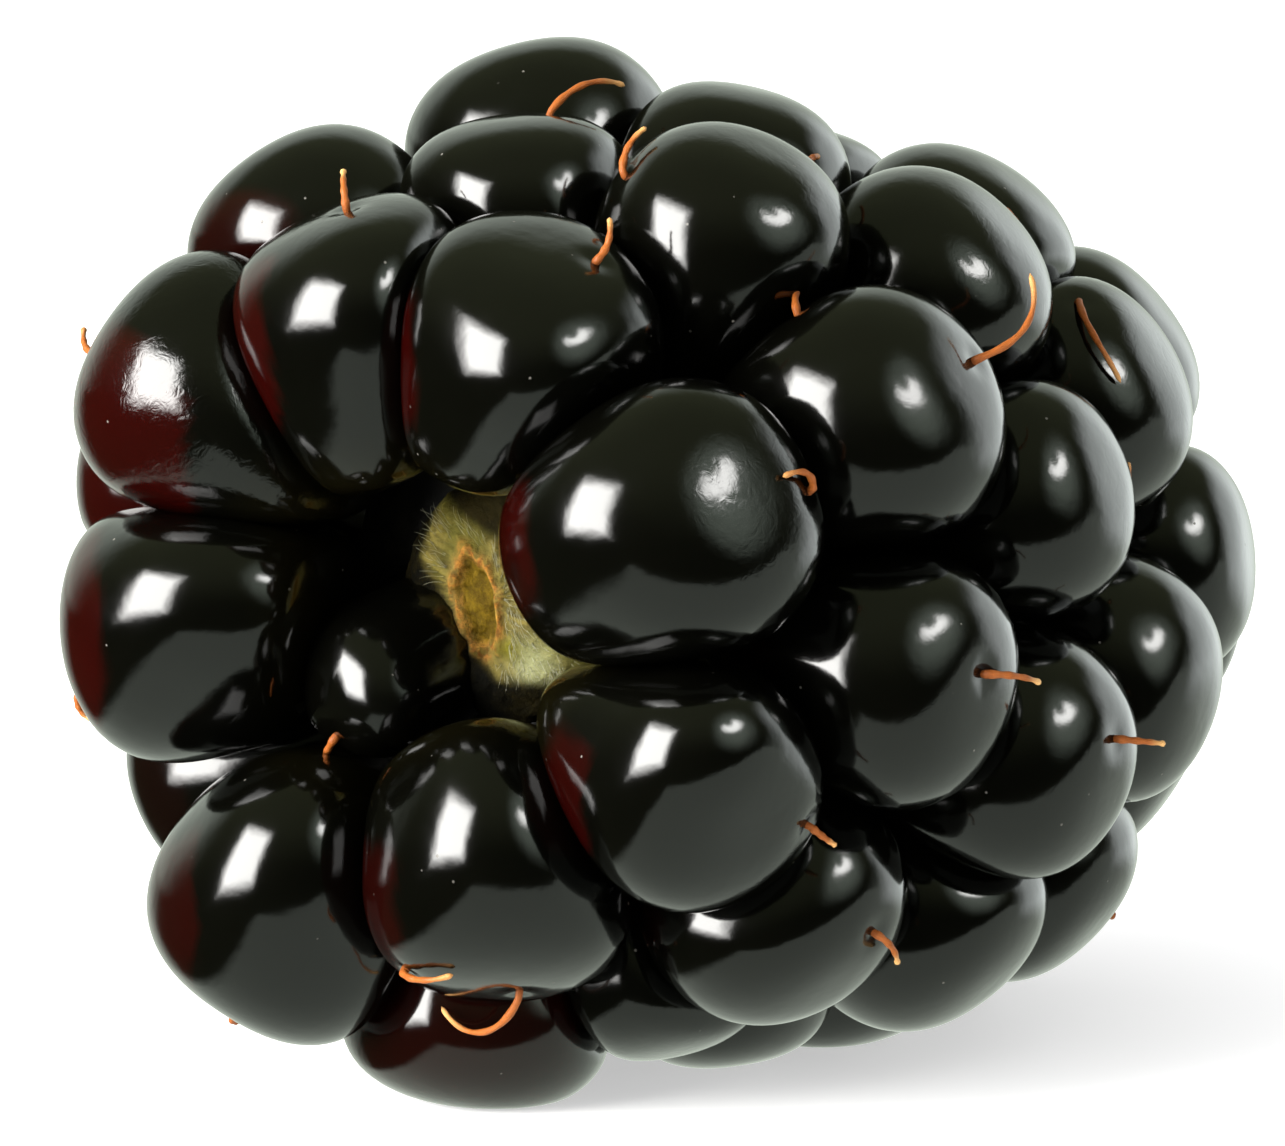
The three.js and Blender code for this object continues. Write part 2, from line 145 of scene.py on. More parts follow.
DRUPELET_AROUND, DRUPELET_DOWN = 72, 50  # grid of one drupelet
SWELLS = 6  # soft waves that make each drupelet's form its own
SWELL_RATE = 1.6  # a higher rate makes them shorter
SWELL_DEPTH = 0.006  # share of its size that each wave adds
DIMPLE_DEPTH, DIMPLE_WIDTH = 0.07, 0.3  # the skin dips round a style's root
FLOOR_SOFTNESS, FLOOR_SINK = 0.08, 0.0016  # the lowest skins flatten softly on the floor, and just enter it
SHAPE_SEED = 21
WITHERED = {"A147": 0.2}  # how wrinkled the skin is all over
MOST_CRINKLED = 0.12  # how wrinkled a drupelet's outer end is at the most
CRINKLE_SEED = 4
ROOT_TINTS, OTHER_ROOT_TINT = {"A": 1}, 0.3  # how tinted a ring's inner ends are
OUTER_END, INNER_END = (0.55, 0.95), (0.35, 0.9)  # cosines from a drupelet's axis over which they begin
SPECK_SPACING = 0.34  # size of the skin's cells, some of which hold a speck of dust
LUMP_WAVES, LUMP_REACH = 24, 1.6  # the sines in a field of soft lumps, and how far their sum reaches

# How wine-red the skin is on the side that faces the stem end and the left, the side that the softbox lights:
# partly the skin's own wine-red and partly painted light, red light showing through the skin. Strength, the
# cosine of the angle at the patch's edge, and how far to the left it begins.
LIT_BLUSH_SIDE = (-0.47, -0.80, -0.37)
LEFT_SIDE = (-0.87, -0.50, 0)
LIT_BLUSHES = {
    "A18": (1, 0.62, 0.84), "A72": (1, 0.68, 0.72), "A112": (1, 0.6, 0.62), "A147": (1, 0.5, 0.2),
    "A190": (1, 0.5, 0.62), "A242": (0.6, 0.6, 0.6), "A285": (0.6, 0.7, 0.68), "A331": (0.8, 0.66, 0.74),
    "B130": (0.5, 0.4, 0.3), "B168": (1, 0, 0), "B184": (1, 0, 0), "B263": (0.45, -0.6, -0.6),
}
LIT_BLUSH_SOFTNESS, LIT_BLUSH_CRISPNESS = 0.10, 0.08  # how soft the patch's edge is, and its edge on the left
LIT_BLUSH_WOBBLE, LIT_BLUSH_WAVES = 0.045, 1.6  # how far its edge wanders, and over what length
LIT_BLUSH_SPREAD = 0.08  # how much the patch's side differs from drupelet to drupelet
RARE_LIT_BLUSH, RARE_PATCH = 0.5, (0.7, 0.6)  # the other drupelets' strongest lit blush, and their patch

STYLE_RADIUS = 0.068
STYLE_AROUND, STYLE_STEPS = 10, 24
STYLE_FOOT, STYLE_TAPER = 1.15, 0.55  # its thickness at the root, and how much is lost by the end
STYLE_KNOB, KNOB_SHARE, KNOB_LENGTH = 0.25, 0.94, 0.04  # the knob's thickness, place and length
STYLE_TIP = 0.05  # share of its length over which the end closes
KNOT_DEPTH, KNOT_RATE = 0.12, 23  # how far its thickness varies, and how often

BED_AROUND, BED_DOWN = 120, 80
BED_SINK = 0.35  # it lies this much deeper than the solid's, so the creases stay deep
BED_ROUNDING = 0.02  # share of its outline over which the corners are rounded
BED_LUMP_DEPTH, BED_LUMPS = 0.03, 2.2

# Places on the receptacle's base are shifts to the right of its middle and up.
PITH_AROUND, PITH_DOWN = 180, 160
PITH_SEED = 5
PITH_ROUNDING = 0.012
PITH_LUMP_DEPTH, PITH_LUMPS, PITH_FINE_LUMPS = 0.07, 0.9, 0.35  # depth and sizes of its fibrous lumps
PITH_SHADE_DEPTHS = (1.2, 3.5)  # painted shade: it darkens over this range behind its base, as it sinks among the drupelets
BASE_OUTLINE = [(0, 0), (0.08, 0.75), (0.65, 1)]  # how far back it is, at shares of the radius
BASE_EDGE = (0.9, 0.3)  # the base gives way to the sides over this range behind it
SIDE_CORNERS = 12  # corners of the sides' quarter ellipse
SCAR_MIDDLE = (-0.36, -0.15)  # the scar where the stem broke away
SCAR_WIDTH, SCAR_HEIGHT = 0.40, 0.98  # its half axes
SCAR_LEAN = 20  # its lower end leans to the right by this angle
SCAR_WANDER = [(0.08, 2, 1), (0.06, 5, 0), (0.03, 11, 2)]  # sines of the turn: share, rate and phase
SCAR_RISE, SCAR_RIDGE = 0.112, 0.2  # height and width of its rim
SCAR_DIP = 0.16  # depth of its middle
SCAR_COLOUR_WIDTH = 0.17
FUZZ_AND_SHEEN_SPOT = ((0.85, -1.25), 0.45)  # place and size of a pale patch where fine white hairs lie, partly their whiteness and partly painted sheen
FRESH_SPOT = ((0.35, -0.95), 0.2)  # a small green one beside it
STREAK_WAVES, STREAK_RATES = 9, (14, 60)  # sines of the turn round the scar, and their rates
STREAK_BEND = 0.05
# Painted shade on the base's edges, where the drupelets shade it: each dark edge lies where right x across +
# up x height is over its third number.
SHADED_EDGES = [(0.5, 1, 0.97), (-0.78, -0.625, 0.88), (-1, 0, 1.6), (0, -1, 1.5)]
SHADED_EDGE_SOFTNESS = 0.15

HAIRS = 500
HAIR_LENGTH, HAIR_LENGTHS = 0.28, (0.5, 1.6)  # the usual length, and the range as shares of it
HAIR_RADIUS, HAIR_THINNING = 0.004, 0.6
HAIR_RING, HAIR_REACH = 1.3, 1.8  # they grow outside this ring round the scar, and so far behind the base
HAIR_LIFT = (0.15, 0.9)  # radians off the pith at the root
HAIR_DEPTH = 0.05  # a hair's root is sunk this far into the pith
HAIRS_ASTRAY, HAIR_CURL = 0.22, 0.35  # how far hairs stray from the way that they are combed, and bend
HAIR_AROUND, HAIR_STEPS = 3, 6
HAIR_SEED = 8

# Colours of the finishes, where a user wouldn't change them. A pair is what a noise mixes.
WHITE = (1, 1, 1)
DUST = (0.16, 0.15, 0.13)
FLESH_TONES = (0.001, 0.001, 0.0006), (0.006, 0.005, 0.0018)
STYLE_ROOT = (0.10, 0.022, 0.006)
SCAR_TONES = (0.065, 0.024, 0.003), (0.215, 0.095, 0.018)
SCAR_MIDDLE_TONES = (0.045, 0.027, 0.001), (0.085, 0.053, 0.003)
# Dark tones of the painted shade on the pith.
PAINTED_SHADE_TONES = (0.0012, 0.0011, 0.0004), (0.008, 0.006, 0.001)
# Pale colour of that patch: partly the white fuzz of the hairs, partly painted sheen.
FUZZ_AND_SHEEN = (0.175, 0.178, 0.085)
FRESH = (0.085, 0.075, 0.005)
HAIR_TONES = (0.12, 0.115, 0.06), (0.26, 0.26, 0.19)
FLOOR_TONES = (0.84, 0.84, 0.84), (0.86, 0.86, 0.86)

# ---- The studio ----

IMAGE_WIDTH = 1285
SENSOR = 36
FOCAL_PIXELS = 8000  # focal length in pixels of the image
CAMERA_AZIMUTH, CAMERA_ELEVATION = 30, 8.4
CAMERA_DISTANCE = 150
CAMERA_TARGET = (-0.52, -2.34, 9.21)

# Directions from the berry are parts to the camera's right, up and back.
KEY_SIDE = (-0.82, 0.175, 0.54)
KEY_WIDTH, KEY_HEIGHT, KEY_DISTANCE = 0.215, 0.25, 0.30  # the softbox, in metres
KEY_STEPS = 7  # it fades towards its edge in this many steps
KEY_LARGEST, KEY_SHRINK = 1.16, 0.075  # the last panel's share of its size, and what each step takes off
KEY_SPACING = 0.003  # distance between two panels
KEY_COLOUR = (1, 0.99, 0.96)
FILL_SIDE = (0.80, 0.39, 0.54)
FILL_EDGE = 0.79  # cosine of the angle at the edge of its glow
LAMP_SIDE = (0.80, 0.50, 0.54)  # the bare lamp inside the glow
LAMP_DISC = (0, 0, 0.27, 0.165)  # its place aside and above that direction, and half its width and height
LAMP_NOTCH = (-0.04, 0.13, 0.12, 0.13)  # the same for the dark holder in front of it
LAMP_COLOUR = (1, 1, 0.97)

# What glossy skins see round the berry. Over each range a thing comes in or goes: parts of the direction up,
# towards the viewer or to the left, or on the table the shift for each height dropped.
TABLE_NEAR_EDGE = (1.4, 1.65)
TABLE_LEFT_EDGE = (0.75, 1)
TABLE_KEPT_BEHIND = (-0.88, -0.62)  # further back than this the left edge isn't cut
BACKDROP_LEAN, BACKDROP_TOP = 0.8, (-0.08, 0.35)  # the range of back - lean x up at its top edge
BACKDROP_LEFT_EDGE = (0.6, 0.95)
WINDOW_NEAR_EDGE, WINDOW_LEFT_EDGE = (0.15, 0.45), (0.2, 0.6)
WINDOW_SILL, WINDOW_TOP = (-0.35, -0.1), (0.35, 0.65)
ROOM_OVERHEAD = (-0.1, 0.95)  # the room grows lighter over these heights


# ======== Shapes: whole arrays of points, in millimetres ========


def turned_to_rest(vectors):
    """Directions from the berry's own frame, whose axis lies along +Y, turned about X by the rest tilt."""
    tilt = math.radians(REST_TILT)
    turn = np.array([
        [1, 0, 0],
        [0, math.cos(tilt), math.sin(tilt)],
        [0, -math.sin(tilt), math.cos(tilt)],
    ])
    return np.asarray(vectors, float) @ turn.T


def set_to_rest(points):
    """Points from the berry's own frame: the middle station goes over the origin, turned, then lifted."""
    return turned_to_rest(np.asarray(points, float) - [0, MID_STATION, 0]) + [ASIDE, 0, REST_HEIGHT]


BERRY_AXIS = turned_to_rest([0, 1, 0])


def unit(vectors):
    """Vectors divided by their own lengths."""
    return vectors / np.linalg.norm(vectors, axis=-1, keepdims=True)


def squared_to(vectors, axes):
    """What is left of vectors square to the unit axes, made unit length."""
    return unit(vectors - np.sum(vectors * axes, axis=-1, keepdims=True) * axes)


def smoothstep(low, high, values):
    """0 below low, 1 above high, and 3t^2 - 2t^3 between them."""
    share = np.clip((values - low) / (high - low), 0, 1)
    return share * share * (3 - 2 * share)


def receptacle_radius(station):
    """A quarter ellipse from the receptacle's base to its tip."""
    share = (station - RECEPTACLE_BASE) / RECEPTACLE_LENGTH
    return RECEPTACLE_RADIUS * math.sqrt(max(0, 1 - max(0, share) ** 2))


def receptacle_rim(centre):
    """The point nearest to a drupelet's centre on the receptacle's sides, grown by the gap."""
    station = max(centre[1], RECEPTACLE_BASE)
    away = unit(np.array([centre[0] - RECEPTACLE_ASIDE, 0, centre[2]]))
    return away * (receptacle_radius(station) + GAP) + [RECEPTACLE_ASIDE, station, 0]


def together(*parts):
    """Arrays of one shape, once broadcast, as the parts of vectors."""
    return np.stack(np.broadcast_arrays(*parts), axis=-1)


def bell(values, width):
    """exp(-(v / width)^2): 1 where the value is 0."""
    return np.exp(-(values / width) ** 2)


class Drupelet:
    """One drupelet: its place and axis at rest, its half axes, and the planes that press on it."""

    def __init__(self, ring, own):
        name, station, radius, lean, out, inward, wide, _ = ring
        bearing, along, off, wider, taller, leaning = (*own, 0, 0, 0, 0, 0)[:6]
        turn, lean = math.radians(bearing), math.radians(lean + leaning)
        away = np.array([math.cos(turn), 0, math.sin(turn)])
        centre = away * (radius + off) + [0, station + along, 0]
        axis = away * math.cos(lean) + [0, math.sin(lean), 0]
        self.ring = name
        self.name = f"{name}{bearing}"
        self.centre = set_to_rest(centre)
        self.axis = turned_to_rest(axis)
        tipwards = squared_to(BERRY_AXIS, self.axis)
        self.ways = np.array([self.axis, tipwards, np.cross(self.axis, tipwards)])
        self.out, self.inward, self.wide = out + taller, inward, wide + wider
        self.bulge, *angles = BULGES.get(self.name, (0, 0, 0))
        aside, above = np.radians(angles)
        level = np.cos(above)
        self.bulge_way = turned_to_rest([np.sin(aside) * level, -np.cos(aside) * level, np.sin(above)])
        room = (centre - receptacle_rim(centre)) @ axis
        self.planes = [(-self.axis, room)] if room > LEAST_ROOM else []

    def press(self, others):
        """A plane towards each near neighbour, at its share of the distance by their widths."""
        for other in others:
            step = other.centre - self.centre
            distance = float(np.linalg.norm(step))
            if other is not self and distance <= PRESS_REACH:
                share = self.wide / (self.wide + other.wide)
                self.planes.append((step / distance, distance * share * OVERLAP))

    def direction(self, angle, way):
        """The direction at an angle from the drupelet's axis, on the side that a way round it points to."""
        angle, way = np.radians(angle), np.radians(way)
        return together(np.cos(angle), np.sin(angle) * np.cos(way), np.sin(angle) * np.sin(way)) @ self.ways

    def reach(self, towards):
        """Distance from the centre to the skin: the egg's own, drawn in by the planes as a sum of powers,
        then let out by the bulge as a power of the cosine from its direction."""
        upright = towards @ self.axis
        high = np.abs(upright) / np.where(upright > 0, self.out, self.inward)
        across = np.sqrt(np.clip(1 - upright**2, 0, 1)) / self.wide
        total = (high**PLUMPNESS + across**PLUMPNESS) ** (ROUNDNESS / PLUMPNESS)
        for plane, distance in self.planes:
            total = total + (np.maximum(0, towards @ plane) / distance) ** ROUNDNESS
        bulge = 1 + self.bulge * np.maximum(0, towards @ self.bulge_way) ** BULGE_POWER
        return total ** (-1 / ROUNDNESS) * bulge

    def skin(self, towards):
        """Points of the skin in the given directions from the centre."""
        return self.centre + towards * self.reach(towards)[..., None]


def grown_drupelets():
    """All the drupelets of the rings, pressed against each other."""
    drupelets = [Drupelet(ring, own) for ring in RINGS for own in ring[-1]]
    for drupelet in drupelets:
        drupelet.press(drupelets)
    return drupelets


DRUPELETS = grown_drupelets()


def repeatable_draws(seed):
    """A stream of numbers between two bounds: state x 16807 modulo 2^31 - 1, as a share of the modulus."""
    factor, modulus = 16807, 2147483647
    state = seed

    def draw(low, high):
        nonlocal state
        state = state * factor % modulus
        return low + (high - low) * state / modulus

    return draw


def short_styles():
    """Short styles on some of the drupelets that have none in STYLES, in the order of the rings."""
    draw = repeatable_draws(STYLE_SEED)
    taken = {style[0] for style in STYLES}
    found = []
    for drupelet in DRUPELETS:
        if drupelet.name in taken or drupelet.centre[2] <= STYLE_CLEAR:
            continue
        kept = draw(0, 1) < STYLE_SHARE
        numbers = [draw(low, high) for low, high in SHORT_STYLE]
        if kept:
            found.append((drupelet.name, *numbers))
    return found


ALL_STYLES = STYLES + short_styles()


def style_roots(drupelet):
    """The points of a drupelet's skin where its styles grow."""
    own = [style[1:3] for style in ALL_STYLES if style[0] == drupelet.name]
    return [drupelet.skin(drupelet.direction(angle, way)) for angle, way in own]


def lifted_off_floor(points):
    """Heights run softly into the floor as (z + sqrt(z^2 + s^2)) / 2, less the sink."""
    height = points[:, 2]
    lifted = (height + np.sqrt(height**2 + FLOOR_SOFTNESS**2)) / 2 - FLOOR_SINK
    return np.column_stack([points[:, :2], lifted])


def drupelet_surface(drupelet, draw):
    """The skin in directions on a grid, closer together towards the outer end, times a sum of soft waves,
    less a bell-shaped dip at each style's root."""
    share = np.arange(1, DRUPELET_DOWN + 1) / (DRUPELET_DOWN + 1)
    angle = 180 * (0.75 * share + 0.25 * share**3)
    way = 360 * np.arange(DRUPELET_AROUND) / DRUPELET_AROUND
    grid = drupelet.direction(angle[:, None], way).reshape(-1, 3)
    towards = np.concatenate([[drupelet.axis], grid, [-drupelet.axis]])
    waves = draw.normal(size=(SWELLS, 3)) * SWELL_RATE
    phases = draw.uniform(0, 2 * np.pi, SWELLS)
    swell = 1 + SWELL_DEPTH * np.sin(towards @ waves.T + phases).sum(axis=1)
    points = drupelet.centre + towards * (drupelet.reach(towards) * swell)[:, None]
    for root in style_roots(drupelet):
        near = bell(np.linalg.norm(points - root, axis=1), DIMPLE_WIDTH)
        points = points - towards * (DIMPLE_DEPTH * near)[:, None]
    return lifted_off_floor(points), towards


def lit_blush_of(drupelet, towards, draw):
    """How wine-red the skin is: its strength inside the patch round the lit blush side and beyond where it
    begins on the left, falling softly to 0 at the edges. The patch faces the softbox, so its red is partly
    painted light, the light that shows red through the skin."""
    side = unit(np.array(LIT_BLUSH_SIDE) + draw.normal(size=3) * LIT_BLUSH_SPREAD)
    strength, edge, start = LIT_BLUSHES.get(drupelet.name, (RARE_LIT_BLUSH * draw.uniform() ** 2, *RARE_PATCH))
    wobble = LIT_BLUSH_WOBBLE * lumps(drupelet.centre + 3 * towards, SHAPE_SEED, LIT_BLUSH_WAVES)
    patch = smoothstep(edge, edge + LIT_BLUSH_SOFTNESS, towards @ side + wobble)
    leftward = towards @ np.array(LEFT_SIDE) + wobble
    return strength * patch * smoothstep(start, start + LIT_BLUSH_CRISPNESS, leftward)


def closed_grid_faces(count, rows, columns):
    """Quads and triangles of closed surfaces alike: a fan at the first pole, quads between rows, a fan at the
    last. Each surface's points are its first pole, its rows one after another, then its last pole."""
    column = 1 + np.arange(columns)
    beside = 1 + column % columns
    upper = np.arange(rows - 1)[:, None] * columns
    lower = upper + columns
    quads = together(upper + column, lower + column, lower + beside, upper + beside).reshape(-1, 4)
    last, base = rows * columns + 1, (rows - 1) * columns
    triangles = np.concatenate([together(0, column, beside), together(last, base + beside, base + column)])
    shift = (np.arange(count) * (last + 1))[:, None, None]
    return (quads + shift).reshape(-1, 4), (triangles + shift).reshape(-1, 3)


def grown_threads(start, up, ahead, length, slopes, turns, depths):
    """Places along threads, and the way each runs there. The first places lie at those depths under the
    start. From there each step heads along the skin at its slope, turned about the skin's normal."""
    aside = np.cross(up, ahead)
    place = start
    places, ways = [start - up * depth for depth in depths], [up] * len(depths)
    for slope, turn in zip(slopes, turns):
        along = (ahead * np.cos(turn) + aside * np.sin(turn)) * np.cos(slope) + up * np.sin(slope)
        place = place + along * (length / len(slopes))
        places.append(place)
        ways.append(along)
    return np.stack(places, axis=1), unit(np.stack(ways, axis=1))


def style_paths():
    """The styles' paths: the slope is rise - fall x share and the turn is curl x share."""
    drupelet = {each.name: each for each in DRUPELETS}
    owners = [drupelet[name] for name, *_ in ALL_STYLES]
    numbers = np.array([style[1:] for style in ALL_STYLES], float)
    angle, way, length, heading, rise, fall, curl = numbers.T[..., None]
    up = np.array([owner.direction(*a, *w) for owner, a, w in zip(owners, angle, way)])
    level = np.array([owner.direction(90, *h) for owner, h in zip(owners, heading)])
    root = np.array([owner.skin(u) for owner, u in zip(owners, up)])
    share = (np.arange(STYLE_STEPS)[:, None, None] + 0.5) / STYLE_STEPS
    slopes, turns = np.radians(rise - fall * share), np.radians(curl * share)
    return grown_threads(root, up, squared_to(level, up), length, slopes, turns, [STYLE_DEPTH, DIMPLE_DEPTH])


def tubes(places, ways, radii, around):
    """Round sections carried along paths. A side vector is kept square to each path as it goes, and a point
    of a section is place + radius x (side x cos + over x sin). The paths' two ends are the poles."""
    off_line = [0.013, 0.029, 0.017]  # gives a straight path a side too
    side = np.cross(ways[:, 0], ways[:, -1] + off_line)
    turn = -2 * np.pi * np.arange(around) / around
    rings = []
    for step in range(1, places.shape[1] - 1):
        side = squared_to(side, ways[:, step])
        over = np.cross(ways[:, step], side)
        section = side[:, None] * np.cos(turn)[:, None] + over[:, None] * np.sin(turn)[:, None]
        rings.append(places[:, step, None] + section * radii[:, step, None, None])
    body = np.concatenate(rings, axis=1)
    return np.concatenate([places[:, :1], body, places[:, -1:]], axis=1)


def turned_surface(outline, around):
    """A body of revolution round the berry's axis, in its own frame: stations and radii of an outline,
    turned. The outline's two ends are the poles."""
    turn = 2 * np.pi * np.arange(around) / around
    station, radius = outline[1:-1].T[..., None]
    rows = together(radius * np.cos(turn), station, radius * np.sin(turn)).reshape(-1, 3)
    return np.concatenate([[[0, outline[0, 0], 0]], rows, [[0, outline[-1, 0], 0]]])


def resampled(corners, count, rounding):
    """An outline through the corners with its points evenly spaced and the corners rounded, by a running
    mean over a share of its length. The ends are mirrored for the mean, so that they stay in place."""
    corners = np.asarray(corners, float)
    lengths = np.concatenate([[0], np.cumsum(np.linalg.norm(np.diff(corners, axis=0), axis=1))])
    fine = np.linspace(0, lengths[-1], count * 8)
    dense = np.stack([np.interp(fine, lengths, values) for values in corners.T], axis=1)
    width = max(1, int(rounding * len(fine)))
    padded = np.pad(dense, [(width, width), (0, 0)], mode="reflect", reflect_type="odd")
    kernel = np.ones(2 * width + 1) / (2 * width + 1)
    smooth = np.stack([np.convolve(values, kernel, mode="valid") for values in padded.T], axis=1)
    picked = smooth[np.linspace(0, len(smooth) - 1, count).round().astype(int)]
    picked[0, 1] = picked[-1, 1] = 0
    return picked


def lumps(points, seed, size):
    """A smooth seeded field between about -1 and 1: a sum of sines of the point along random directions, with
    waves about as long as size."""
    draw = np.random.default_rng(seed)
    ways = unit(draw.normal(size=(LUMP_WAVES, 3)))
    waves = ways * (2 * np.pi / size) * draw.uniform(0.6, 1.4, (LUMP_WAVES, 1))
    phases = draw.uniform(0, 2 * np.pi, LUMP_WAVES)
    return np.sin(points @ waves.T + phases).sum(axis=1) * math.sqrt(2 / LUMP_WAVES) / LUMP_REACH


# ======== Finishes: node trees written as expressions, with sizes in millimetres ========


def operator_pair(operation):
    """The method of an operator, and of its reflected form, that add a Math node of that operation."""

    def forward(self, other):
        return self.math(operation, self, other)

    def reflected(self, other):
        return self.math(operation, other, self)

    return forward, reflected


class Amount:
    """A number's socket. The usual operators on it add Math nodes."""

    __add__, __radd__ = operator_pair("ADD")
    __sub__, __rsub__ = operator_pair("SUBTRACT")
    __mul__, __rmul__ = operator_pair("MULTIPLY")
    __truediv__, __rtruediv__ = operator_pair("DIVIDE")
    __pow__, __rpow__ = operator_pair("POWER")

    def __init__(self, finish, socket):
        self.finish = finish
        self.socket = socket

    def math(self, operation, first, second):
        return self.finish.amount("ShaderNodeMath", {"operation": operation}, {0: first, 1: second})

    def larger(self, other):
        return self.math("MAXIMUM", self, other)

    def rising(self, low, high):
        """0 below low, 1 above high, and a smooth step between them."""
        settings = {"interpolation_type": "SMOOTHSTEP"}
        inputs = {"Value": self, "From Min": low, "From Max": high}
        return self.finish.amount("ShaderNodeMapRange", settings, inputs)


class Finish:
    """A node tree being written, for a material or for the world."""

    def __init__(self, owner):
        owner.use_nodes = True
        self.owner = owner
        self.tree = owner.node_tree
        self.tree.nodes.clear()
        self.coordinates = self.node("ShaderNodeTexCoord").outputs

    def node(self, kind, settings=None, inputs=None):
        """One node: its settings first, then the values or links of its sockets. A colour is made opaque."""
        made = self.tree.nodes.new(kind)
        for name, value in (settings or {}).items():
            setattr(made, name, value)
        for name, value in (inputs or {}).items():
            socket = made.inputs[name]
            if isinstance(value, Amount):
                value = value.socket
            if isinstance(value, bpy.types.NodeSocket):
                self.tree.links.new(value, socket)
            else:
                socket.default_value = (*value, 1) if socket.type == "RGBA" else value
        return made

    def amount(self, kind, settings=None, inputs=None, output=0):
        return Amount(self, self.node(kind, settings, inputs).outputs[output])

    def attribute(self, name):
        """A number stored on the mesh's points."""
        return self.amount("ShaderNodeAttribute", {"attribute_name": name}, output="Fac")

    def noise(self, size, detail, roughness=0.5, distortion=0):
        """Noise between 0 and 1 over the piece, with features of about that size."""
        inputs = {"Vector": self.coordinates["Object"], "Scale": 1 / (size * MM), "Detail": detail,
                  "Roughness": roughness, "Distortion": distortion}
        return self.amount("ShaderNodeTexNoise", None, inputs, "Fac")

    def mixed(self, mask, first, second):
        """The first colour where the mask is 0, the second where it is 1."""
        settings = {"data_type": "RGBA", "clamp_factor": True}
        return self.node("ShaderNodeMix", settings, {0: mask, 6: first, 7: second}).outputs[2]

    def bump(self, height, depth, below=None):
        """A normal from heights between 0 and 1, which stand for that depth, on top of the normal below."""
        inputs = {"Height": height, "Distance": depth * MM, "Strength": 1}
        if below is not None:
            inputs["Normal"] = below
        return self.node("ShaderNodeBump", None, inputs).outputs[0]

    def surface(self, inputs):
        """The material, once a Principled shader with these sockets is its surface."""
        shader = self.node("ShaderNodeBsdfPrincipled", None, inputs)
        self.node("ShaderNodeOutputMaterial", None, {"Surface": shader.outputs[0]})
        return self.owner


def new_finish(name):
    return Finish(bpy.data.materials.new(name))


def scaled(colour, share):
    return [channel * share for channel in colour]


def skin_finish(settings):
    """Taut glossy skin, near black, wine-red where its lit blush attribute says, partly painted light on the
    side that faces the softbox, with dust specks.
    """
    finish = new_finish("taut_skin")
    cloudy = finish.noise(1.1, detail=3)
    black = finish.mixed(cloudy, settings.black, scaled(settings.black, 0.5))
    wine = finish.mixed(cloudy, settings.wine, scaled(settings.wine, 0.55))
    # Partly painted light: the wine-red patch sits on the side that faces the softbox.
    lit_blush = finish.attribute("lit_blush") * (cloudy * 0.7 + 0.65)
    colour = finish.mixed(finish.attribute("root"), finish.mixed(lit_blush, black, wine), settings.root_colour)

    cells = finish.node("ShaderNodeTexVoronoi", {"feature": "F1"}, {
        "Vector": finish.coordinates["Object"], "Scale": 1 / (SPECK_SPACING * MM)}).outputs
    chosen = finish.amount("ShaderNodeSeparateColor", None, {0: cells["Color"]})
    near = 1 - Amount(finish, cells["Distance"]).rising(0.05, 0.10)
    speck = near * chosen.rising(1 - settings.speck_share, 1 - settings.speck_share * 0.5)
    colour = finish.mixed(speck * 0.6, colour, DUST)

    waxy = finish.noise(1.6, detail=4, roughness=0.6).rising(0.45, 0.75)
    wrinkles = finish.noise(0.28, detail=3, roughness=0.55, distortion=1.5) * finish.attribute("wrinkle")
    normal = finish.bump(finish.noise(0.9, detail=2), 0.012)
    normal = finish.bump(wrinkles, 0.04, normal)
    normal = finish.bump(finish.noise(0.22, detail=2), 0.002, normal)
    return finish.surface({
        "Base Color": colour, "Roughness": settings.roughness + waxy * 0.05 + speck * 0.4,
        "Normal": normal, "IOR": 1.46,
    })


def flesh_finish():
    """The dark wet flesh at the bottom of the creases."""
    finish = new_finish("dark_flesh")
    cloudy = finish.noise(1.3, detail=4, roughness=0.6)
    return finish.surface({
        "Base Color": finish.mixed(cloudy.rising(0.4, 0.75), *FLESH_TONES),
        "Roughness": 0.4 + cloudy * 0.2, "Specular IOR Level": 0.2,
        "Normal": finish.bump(finish.noise(0.6, detail=3), 0.06),
    })


def style_finish(settings):
    """Withered thread: orange-brown, paler and yellower towards its end, streaked along its length."""
    finish = new_finish("withered_style")
    along = finish.attribute("along")
    streaks = finish.noise(0.16, detail=3, roughness=0.6)
    brown = finish.mixed(streaks, settings.brown, scaled(settings.brown, 0.45))
    end = along.rising(0.62, 1) * (finish.attribute("tone") * 0.7 + 0.3)
    colour = finish.mixed(end, brown, settings.pale)
    return finish.surface({
        "Base Color": finish.mixed((1 - along.rising(0, 0.12)) * 0.6, colour, STYLE_ROOT),
        "Roughness": 0.38 + streaks * 0.25, "Normal": finish.bump(streaks, 0.03),
        "IOR": 1.45, "Specular IOR Level": 0.25,
    })


